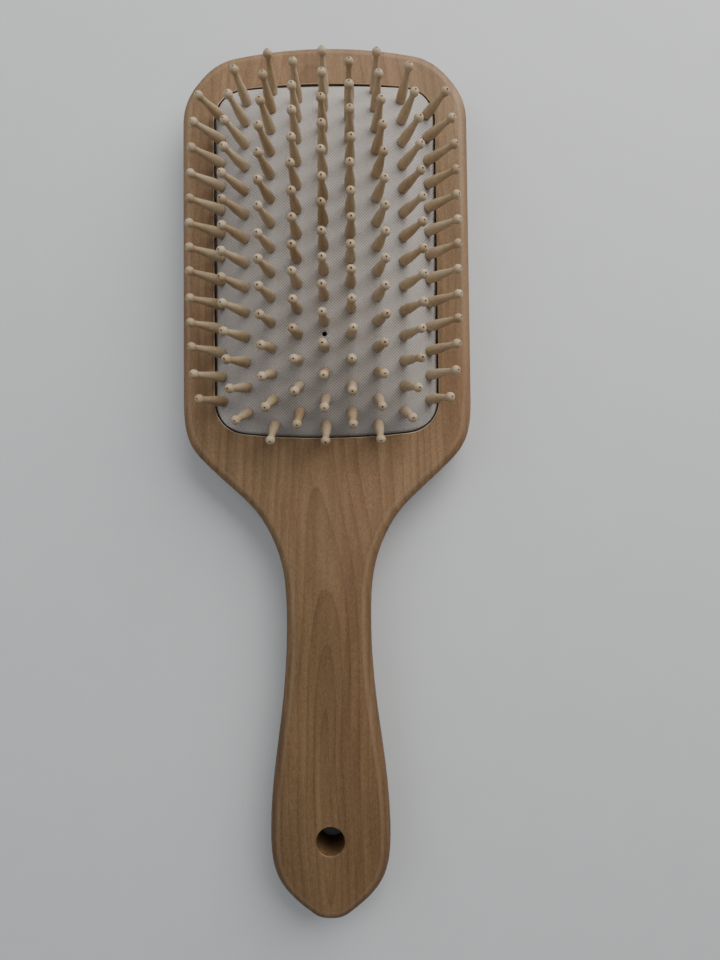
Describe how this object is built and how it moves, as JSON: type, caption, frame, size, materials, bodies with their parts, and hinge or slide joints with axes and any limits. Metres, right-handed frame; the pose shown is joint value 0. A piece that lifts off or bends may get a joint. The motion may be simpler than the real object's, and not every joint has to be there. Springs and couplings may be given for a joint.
{
  "type": "paddle hairbrush",
  "caption": "Flat wooden paddle hairbrush with a domed, cloth-faced air cushion, round-tipped wooden pins that rock, and a hanging hole in the handle.",
  "frame": {"origin": "middle of the brush's outline, on the flat back it lies on", "axes": "+Z out of the back towards the pins' tips, +Y along the length towards the head's free end, +X across the head"},
  "size_m": [0.083, 0.25, 0.0343],
  "materials": {
    "paddle_wood": "fine straight grain under a thin satin lacquer",
    "pin_wood": "turned pale wood, smooth and unlacquered",
    "rubber": "moulded natural rubber, matt",
    "cloth": "fine grey-white woven cloth bonded to the rubber"
  },
  "bodies": {
    "paddle": {"paddle_body": "paddle_wood"},
    "cushion": {"cushion_rubber": "rubber", "cushion_cloth": "cloth"},
    "pin_c3_bottom": {"pin_c3_bottom": "pin_wood"},
    "pin_c3_top": {"pin_c3_top": "pin_wood"},
    "pin_c5_bottom": {"pin_c5_bottom": "pin_wood"},
    "pin_c5_top": {"pin_c5_top": "pin_wood"},
    "pin_c7_bottom": {"pin_c7_bottom": "pin_wood"},
    "pin_c7_top": {"pin_c7_top": "pin_wood"},
    "pins_c1_a": {"pins_c1_a": "pin_wood"},
    "pins_c1_b": {"pins_c1_b": "pin_wood"},
    "pins_c1_c": {"pins_c1_c": "pin_wood"},
    "pins_c1_d": {"pins_c1_d": "pin_wood"},
    "pins_c1_e": {"pins_c1_e": "pin_wood"},
    "pins_c2_a": {"pins_c2_a": "pin_wood"},
    "pins_c2_b": {"pins_c2_b": "pin_wood"},
    "pins_c2_c": {"pins_c2_c": "pin_wood"},
    "pins_c2_d": {"pins_c2_d": "pin_wood"},
    "pins_c2_e": {"pins_c2_e": "pin_wood"},
    "pins_c3_a": {"pins_c3_a": "pin_wood"},
    "pins_c3_b": {"pins_c3_b": "pin_wood"},
    "pins_c3_c": {"pins_c3_c": "pin_wood"},
    "pins_c3_d": {"pins_c3_d": "pin_wood"},
    "pins_c3_e": {"pins_c3_e": "pin_wood"},
    "pins_c4_a": {"pins_c4_a": "pin_wood"},
    "pins_c4_b": {"pins_c4_b": "pin_wood"},
    "pins_c4_c": {"pins_c4_c": "pin_wood"},
    "pins_c4_d": {"pins_c4_d": "pin_wood"},
    "pins_c4_e": {"pins_c4_e": "pin_wood"},
    "pins_c5_a": {"pins_c5_a": "pin_wood"},
    "pins_c5_b": {"pins_c5_b": "pin_wood"},
    "pins_c5_c": {"pins_c5_c": "pin_wood"},
    "pins_c5_d": {"pins_c5_d": "pin_wood"},
    "pins_c5_e": {"pins_c5_e": "pin_wood"},
    "pins_c6_a": {"pins_c6_a": "pin_wood"},
    "pins_c6_b": {"pins_c6_b": "pin_wood"},
    "pins_c6_c": {"pins_c6_c": "pin_wood"},
    "pins_c6_d": {"pins_c6_d": "pin_wood"},
    "pins_c6_e": {"pins_c6_e": "pin_wood"},
    "pins_c7_a": {"pins_c7_a": "pin_wood"},
    "pins_c7_b": {"pins_c7_b": "pin_wood"},
    "pins_c7_c": {"pins_c7_c": "pin_wood"},
    "pins_c7_d": {"pins_c7_d": "pin_wood"},
    "pins_c7_e": {"pins_c7_e": "pin_wood"},
    "pins_c8_a": {"pins_c8_a": "pin_wood"},
    "pins_c8_b": {"pins_c8_b": "pin_wood"},
    "pins_c8_c": {"pins_c8_c": "pin_wood"},
    "pins_c8_d": {"pins_c8_d": "pin_wood"},
    "pins_c8_e": {"pins_c8_e": "pin_wood"},
    "pins_c9_a": {"pins_c9_a": "pin_wood"},
    "pins_c9_b": {"pins_c9_b": "pin_wood"},
    "pins_c9_c": {"pins_c9_c": "pin_wood"},
    "pins_c9_d": {"pins_c9_d": "pin_wood"},
    "pins_c9_e": {"pins_c9_e": "pin_wood"}
  },
  "joints": [
    {"name": "cushion_press", "type": "slide", "parent": "paddle", "child": "cushion", "axis": [0, 0, -1], "range_m": [0, 0.004], "stiffness_N_per_m": 2500, "springref_m": -0.0004, "deforming": ["cushion_rubber", "cushion_cloth"]},
    {"name": "tilt_c3_bottom", "type": "hinge", "parent": "paddle", "child": "pin_c3_bottom", "pos_m": [-0.0147, 0.01464, 0.01292], "axis": [0, 0.8794, 0.4761], "range_deg": [-12, 12], "stiffness_Nm_per_rad": 0.0034},
    {"name": "tilt_c3_top", "type": "hinge", "parent": "paddle", "child": "pin_c3_top", "pos_m": [-0.01468, 0.10987, 0.01292], "axis": [0, 0.8817, -0.4719], "range_deg": [-12, 12], "stiffness_Nm_per_rad": 0.0034},
    {"name": "tilt_c5_bottom", "type": "hinge", "parent": "paddle", "child": "pin_c5_bottom", "pos_m": [-0.00002, 0.01467, 0.01307], "axis": [0, 0.8597, 0.5107], "range_deg": [-12, 12], "stiffness_Nm_per_rad": 0.0034},
    {"name": "tilt_c5_top", "type": "hinge", "parent": "paddle", "child": "pin_c5_top", "pos_m": [0, 0.1098, 0.01309], "axis": [0, 0.8435, -0.5372], "range_deg": [-12, 12], "stiffness_Nm_per_rad": 0.0034},
    {"name": "tilt_c7_bottom", "type": "hinge", "parent": "paddle", "child": "pin_c7_bottom", "pos_m": [0.01466, 0.01464, 0.01293], "axis": [0, 0.8759, 0.4825], "range_deg": [-12, 12], "stiffness_Nm_per_rad": 0.0034},
    {"name": "tilt_c7_top", "type": "hinge", "parent": "paddle", "child": "pin_c7_top", "pos_m": [0.01467, 0.10987, 0.01292], "axis": [0, 0.8805, -0.4741], "range_deg": [-12, 12], "stiffness_Nm_per_rad": 0.0034},
    {"name": "tilt_c1_a", "type": "hinge", "parent": "paddle", "child": "pins_c1_a", "pos_m": [-0.02884, 0.09656, 0.01276], "axis": [0, 0.9985, -0.0542], "range_deg": [-5, 15], "stiffness_Nm_per_rad": 0.0102},
    {"name": "tilt_c1_b", "type": "hinge", "parent": "paddle", "child": "pins_c1_b", "pos_m": [-0.02875, 0.07943, 0.01324], "axis": [0, 0.9999, -0.0136], "range_deg": [-5, 15], "stiffness_Nm_per_rad": 0.0068},
    {"name": "tilt_c1_c", "type": "hinge", "parent": "paddle", "child": "pins_c1_c", "pos_m": [-0.02873, 0.06224, 0.01334], "axis": [0, 1, 0.0006], "range_deg": [-5, 15], "stiffness_Nm_per_rad": 0.0102},
    {"name": "tilt_c1_d", "type": "hinge", "parent": "paddle", "child": "pins_c1_d", "pos_m": [-0.02874, 0.0451, 0.01324], "axis": [0, 0.9999, 0.0115], "range_deg": [-5, 15], "stiffness_Nm_per_rad": 0.0068},
    {"name": "tilt_c1_e", "type": "hinge", "parent": "paddle", "child": "pins_c1_e", "pos_m": [-0.02884, 0.02796, 0.01276], "axis": [0, 0.9985, 0.0551], "range_deg": [-5, 15], "stiffness_Nm_per_rad": 0.0102},
    {"name": "tilt_c2_a", "type": "hinge", "parent": "cushion", "child": "pins_c2_a", "pos_m": [-0.02177, 0.09983, 0.01559], "axis": [0, 0.976, -0.2177], "range_deg": [-12, 12], "stiffness_Nm_per_rad": 0.0102},
    {"name": "tilt_c2_b", "type": "hinge", "parent": "cushion", "child": "pins_c2_b", "pos_m": [-0.02164, 0.07939, 0.01785], "axis": [0, 0.9991, -0.0416], "range_deg": [-12, 12], "stiffness_Nm_per_rad": 0.0102},
    {"name": "tilt_c2_c", "type": "hinge", "parent": "cushion", "child": "pins_c2_c", "pos_m": [-0.02164, 0.06226, 0.0181], "axis": [0, 1, -0.0019], "range_deg": [-12, 12], "stiffness_Nm_per_rad": 0.0068},
    {"name": "tilt_c2_d", "type": "hinge", "parent": "cushion", "child": "pins_c2_d", "pos_m": [-0.02165, 0.0451, 0.01784], "axis": [0, 0.9991, 0.0416], "range_deg": [-12, 12], "stiffness_Nm_per_rad": 0.0102},
    {"name": "tilt_c2_e", "type": "hinge", "parent": "cushion", "child": "pins_c2_e", "pos_m": [-0.02177, 0.02465, 0.01559], "axis": [0, 0.9761, 0.2172], "range_deg": [-12, 12], "stiffness_Nm_per_rad": 0.0102},
    {"name": "tilt_c3_a", "type": "hinge", "parent": "cushion", "child": "pins_c3_a", "pos_m": [-0.01457, 0.09639, 0.01784], "axis": [0, 0.9743, -0.2255], "range_deg": [-12, 12], "stiffness_Nm_per_rad": 0.0102},
    {"name": "tilt_c3_b", "type": "hinge", "parent": "cushion", "child": "pins_c3_b", "pos_m": [-0.01453, 0.07937, 0.01989], "axis": [0, 0.9987, -0.051], "range_deg": [-12, 12], "stiffness_Nm_per_rad": 0.0068},
    {"name": "tilt_c3_c", "type": "hinge", "parent": "cushion", "child": "pins_c3_c", "pos_m": [-0.01453, 0.06227, 0.02026], "axis": [0, 1, -0.0001], "range_deg": [-12, 12], "stiffness_Nm_per_rad": 0.0102},
    {"name": "tilt_c3_d", "type": "hinge", "parent": "cushion", "child": "pins_c3_d", "pos_m": [-0.01455, 0.04512, 0.01988], "axis": [0, 0.9987, 0.0518], "range_deg": [-12, 12], "stiffness_Nm_per_rad": 0.0068},
    {"name": "tilt_c3_e", "type": "hinge", "parent": "cushion", "child": "pins_c3_e", "pos_m": [-0.01457, 0.02815, 0.01785], "axis": [0, 0.9743, 0.2252], "range_deg": [-12, 12], "stiffness_Nm_per_rad": 0.0102},
    {"name": "tilt_c4_a", "type": "hinge", "parent": "cushion", "child": "pins_c4_a", "pos_m": [-0.00731, 0.09976, 0.0174], "axis": [0, 0.9541, -0.2995], "range_deg": [-12, 12], "stiffness_Nm_per_rad": 0.0102},
    {"name": "tilt_c4_b", "type": "hinge", "parent": "cushion", "child": "pins_c4_b", "pos_m": [-0.00729, 0.07935, 0.02056], "axis": [0, 0.9983, -0.0577], "range_deg": [-12, 12], "stiffness_Nm_per_rad": 0.0102},
    {"name": "tilt_c4_c", "type": "hinge", "parent": "cushion", "child": "pins_c4_c", "pos_m": [-0.00732, 0.06225, 0.02092], "axis": [0, 1, 0], "range_deg": [-12, 12], "stiffness_Nm_per_rad": 0.0068},
    {"name": "tilt_c4_d", "type": "hinge", "parent": "cushion", "child": "pins_c4_d", "pos_m": [-0.00733, 0.04513, 0.02056], "axis": [0, 0.9983, 0.0578], "range_deg": [-12, 12], "stiffness_Nm_per_rad": 0.0102},
    {"name": "tilt_c4_e", "type": "hinge", "parent": "cushion", "child": "pins_c4_e", "pos_m": [-0.00733, 0.02476, 0.01741], "axis": [0, 0.954, 0.2999], "range_deg": [-12, 12], "stiffness_Nm_per_rad": 0.0102},
    {"name": "tilt_c5_a", "type": "hinge", "parent": "cushion", "child": "pins_c5_a", "pos_m": [0, 0.09638, 0.01838], "axis": [0, 0.9701, -0.2427], "range_deg": [-12, 12], "stiffness_Nm_per_rad": 0.0102},
    {"name": "tilt_c5_b", "type": "hinge", "parent": "cushion", "child": "pins_c5_b", "pos_m": [-0.00001, 0.07936, 0.02059], "axis": [0, 0.9985, -0.0555], "range_deg": [-12, 12], "stiffness_Nm_per_rad": 0.0068},
    {"name": "tilt_c5_c", "type": "hinge", "parent": "cushion", "child": "pins_c5_c", "pos_m": [-0.00001, 0.06226, 0.021], "axis": [0, 1, 0.0001], "range_deg": [-12, 12], "stiffness_Nm_per_rad": 0.0102},
    {"name": "tilt_c5_d", "type": "hinge", "parent": "cushion", "child": "pins_c5_d", "pos_m": [0, 0.04511, 0.02059], "axis": [0, 0.9985, 0.0556], "range_deg": [-12, 12], "stiffness_Nm_per_rad": 0.0068},
    {"name": "tilt_c5_e", "type": "hinge", "parent": "cushion", "child": "pins_c5_e", "pos_m": [-0.00002, 0.02814, 0.01838], "axis": [0, 0.9701, 0.2428], "range_deg": [-12, 12], "stiffness_Nm_per_rad": 0.0102},
    {"name": "tilt_c6_a", "type": "hinge", "parent": "cushion", "child": "pins_c6_a", "pos_m": [0.00734, 0.09974, 0.01741], "axis": [0, 0.954, -0.2998], "range_deg": [-12, 12], "stiffness_Nm_per_rad": 0.0102},
    {"name": "tilt_c6_b", "type": "hinge", "parent": "cushion", "child": "pins_c6_b", "pos_m": [0.00733, 0.07935, 0.02056], "axis": [0, 0.9983, -0.0578], "range_deg": [-12, 12], "stiffness_Nm_per_rad": 0.0102},
    {"name": "tilt_c6_c", "type": "hinge", "parent": "cushion", "child": "pins_c6_c", "pos_m": [0.00732, 0.06227, 0.02092], "axis": [0, 1, 0], "range_deg": [-12, 12], "stiffness_Nm_per_rad": 0.0068},
    {"name": "tilt_c6_d", "type": "hinge", "parent": "cushion", "child": "pins_c6_d", "pos_m": [0.00731, 0.04513, 0.02056], "axis": [0, 0.9983, 0.0577], "range_deg": [-12, 12], "stiffness_Nm_per_rad": 0.0102},
    {"name": "tilt_c6_e", "type": "hinge", "parent": "cushion", "child": "pins_c6_e", "pos_m": [0.00732, 0.02476, 0.01741], "axis": [0, 0.954, 0.2997], "range_deg": [-12, 12], "stiffness_Nm_per_rad": 0.0102},
    {"name": "tilt_c7_a", "type": "hinge", "parent": "cushion", "child": "pins_c7_a", "pos_m": [0.01458, 0.09641, 0.01783], "axis": [0, 0.9742, -0.2257], "range_deg": [-12, 12], "stiffness_Nm_per_rad": 0.0102},
    {"name": "tilt_c7_b", "type": "hinge", "parent": "cushion", "child": "pins_c7_b", "pos_m": [0.01453, 0.07938, 0.01989], "axis": [0, 0.9987, -0.0515], "range_deg": [-12, 12], "stiffness_Nm_per_rad": 0.0068},
    {"name": "tilt_c7_c", "type": "hinge", "parent": "cushion", "child": "pins_c7_c", "pos_m": [0.01452, 0.06226, 0.02027], "axis": [0, 1, 0], "range_deg": [-12, 12], "stiffness_Nm_per_rad": 0.0102},
    {"name": "tilt_c7_d", "type": "hinge", "parent": "cushion", "child": "pins_c7_d", "pos_m": [0.01453, 0.04514, 0.01989], "axis": [0, 0.9987, 0.0507], "range_deg": [-12, 12], "stiffness_Nm_per_rad": 0.0068},
    {"name": "tilt_c7_e", "type": "hinge", "parent": "cushion", "child": "pins_c7_e", "pos_m": [0.01457, 0.02812, 0.01784], "axis": [0, 0.9743, 0.2254], "range_deg": [-12, 12], "stiffness_Nm_per_rad": 0.0102},
    {"name": "tilt_c8_a", "type": "hinge", "parent": "cushion", "child": "pins_c8_a", "pos_m": [0.02177, 0.09985, 0.01559], "axis": [0, 0.9759, -0.2181], "range_deg": [-12, 12], "stiffness_Nm_per_rad": 0.0102},
    {"name": "tilt_c8_b", "type": "hinge", "parent": "cushion", "child": "pins_c8_b", "pos_m": [0.02166, 0.07939, 0.01784], "axis": [0, 0.9991, -0.0413], "range_deg": [-12, 12], "stiffness_Nm_per_rad": 0.0102},
    {"name": "tilt_c8_c", "type": "hinge", "parent": "cushion", "child": "pins_c8_c", "pos_m": [0.02163, 0.06224, 0.0181], "axis": [0, 1, -0.0002], "range_deg": [-12, 12], "stiffness_Nm_per_rad": 0.0068},
    {"name": "tilt_c8_d", "type": "hinge", "parent": "cushion", "child": "pins_c8_d", "pos_m": [0.02164, 0.04512, 0.01785], "axis": [0, 0.9991, 0.0424], "range_deg": [-12, 12], "stiffness_Nm_per_rad": 0.0102},
    {"name": "tilt_c8_e", "type": "hinge", "parent": "cushion", "child": "pins_c8_e", "pos_m": [0.02177, 0.02467, 0.01559], "axis": [0, 0.976, 0.2179], "range_deg": [-12, 12], "stiffness_Nm_per_rad": 0.0102},
    {"name": "tilt_c9_a", "type": "hinge", "parent": "paddle", "child": "pins_c9_a", "pos_m": [0.02884, 0.09654, 0.01277], "axis": [0, 0.9985, -0.0554], "range_deg": [-15, 5], "stiffness_Nm_per_rad": 0.0102},
    {"name": "tilt_c9_b", "type": "hinge", "parent": "paddle", "child": "pins_c9_b", "pos_m": [0.02875, 0.07942, 0.01324], "axis": [0, 0.9999, -0.0109], "range_deg": [-15, 5], "stiffness_Nm_per_rad": 0.0068},
    {"name": "tilt_c9_c", "type": "hinge", "parent": "paddle", "child": "pins_c9_c", "pos_m": [0.02873, 0.06223, 0.01333], "axis": [0, 1, 0.0008], "range_deg": [-15, 5], "stiffness_Nm_per_rad": 0.0102},
    {"name": "tilt_c9_d", "type": "hinge", "parent": "paddle", "child": "pins_c9_d", "pos_m": [0.02874, 0.04507, 0.01325], "axis": [0, 0.9999, 0.0116], "range_deg": [-15, 5], "stiffness_Nm_per_rad": 0.0068},
    {"name": "tilt_c9_e", "type": "hinge", "parent": "paddle", "child": "pins_c9_e", "pos_m": [0.02883, 0.02794, 0.01277], "axis": [0, 0.9985, 0.0544], "range_deg": [-15, 5], "stiffness_Nm_per_rad": 0.0102}
  ],
  "couplings": [
    {"joint": "tilt_c1_a", "follows": "tilt_c1_c", "ratio": 1},
    {"joint": "tilt_c1_b", "follows": "tilt_c1_c", "ratio": 1},
    {"joint": "tilt_c1_d", "follows": "tilt_c1_c", "ratio": 1},
    {"joint": "tilt_c1_e", "follows": "tilt_c1_c", "ratio": 1},
    {"joint": "tilt_c2_a", "follows": "tilt_c2_c", "ratio": 1},
    {"joint": "tilt_c2_b", "follows": "tilt_c2_c", "ratio": 1},
    {"joint": "tilt_c2_d", "follows": "tilt_c2_c", "ratio": 1},
    {"joint": "tilt_c2_e", "follows": "tilt_c2_c", "ratio": 1},
    {"joint": "tilt_c3_bottom", "follows": "tilt_c3_c", "ratio": 1},
    {"joint": "tilt_c3_top", "follows": "tilt_c3_c", "ratio": 1},
    {"joint": "tilt_c3_a", "follows": "tilt_c3_c", "ratio": 1},
    {"joint": "tilt_c3_b", "follows": "tilt_c3_c", "ratio": 1},
    {"joint": "tilt_c3_d", "follows": "tilt_c3_c", "ratio": 1},
    {"joint": "tilt_c3_e", "follows": "tilt_c3_c", "ratio": 1},
    {"joint": "tilt_c4_a", "follows": "tilt_c4_c", "ratio": 1},
    {"joint": "tilt_c4_b", "follows": "tilt_c4_c", "ratio": 1},
    {"joint": "tilt_c4_d", "follows": "tilt_c4_c", "ratio": 1},
    {"joint": "tilt_c4_e", "follows": "tilt_c4_c", "ratio": 1},
    {"joint": "tilt_c5_bottom", "follows": "tilt_c5_c", "ratio": 1},
    {"joint": "tilt_c5_top", "follows": "tilt_c5_c", "ratio": 1},
    {"joint": "tilt_c5_a", "follows": "tilt_c5_c", "ratio": 1},
    {"joint": "tilt_c5_b", "follows": "tilt_c5_c", "ratio": 1},
    {"joint": "tilt_c5_d", "follows": "tilt_c5_c", "ratio": 1},
    {"joint": "tilt_c5_e", "follows": "tilt_c5_c", "ratio": 1},
    {"joint": "tilt_c6_a", "follows": "tilt_c6_c", "ratio": 1},
    {"joint": "tilt_c6_b", "follows": "tilt_c6_c", "ratio": 1},
    {"joint": "tilt_c6_d", "follows": "tilt_c6_c", "ratio": 1},
    {"joint": "tilt_c6_e", "follows": "tilt_c6_c", "ratio": 1},
    {"joint": "tilt_c7_bottom", "follows": "tilt_c7_c", "ratio": 1},
    {"joint": "tilt_c7_top", "follows": "tilt_c7_c", "ratio": 1},
    {"joint": "tilt_c7_a", "follows": "tilt_c7_c", "ratio": 1},
    {"joint": "tilt_c7_b", "follows": "tilt_c7_c", "ratio": 1},
    {"joint": "tilt_c7_d", "follows": "tilt_c7_c", "ratio": 1},
    {"joint": "tilt_c7_e", "follows": "tilt_c7_c", "ratio": 1},
    {"joint": "tilt_c8_a", "follows": "tilt_c8_c", "ratio": 1},
    {"joint": "tilt_c8_b", "follows": "tilt_c8_c", "ratio": 1},
    {"joint": "tilt_c8_d", "follows": "tilt_c8_c", "ratio": 1},
    {"joint": "tilt_c8_e", "follows": "tilt_c8_c", "ratio": 1},
    {"joint": "tilt_c9_a", "follows": "tilt_c9_c", "ratio": 1},
    {"joint": "tilt_c9_b", "follows": "tilt_c9_c", "ratio": 1},
    {"joint": "tilt_c9_d", "follows": "tilt_c9_c", "ratio": 1},
    {"joint": "tilt_c9_e", "follows": "tilt_c9_c", "ratio": 1}
  ]
}
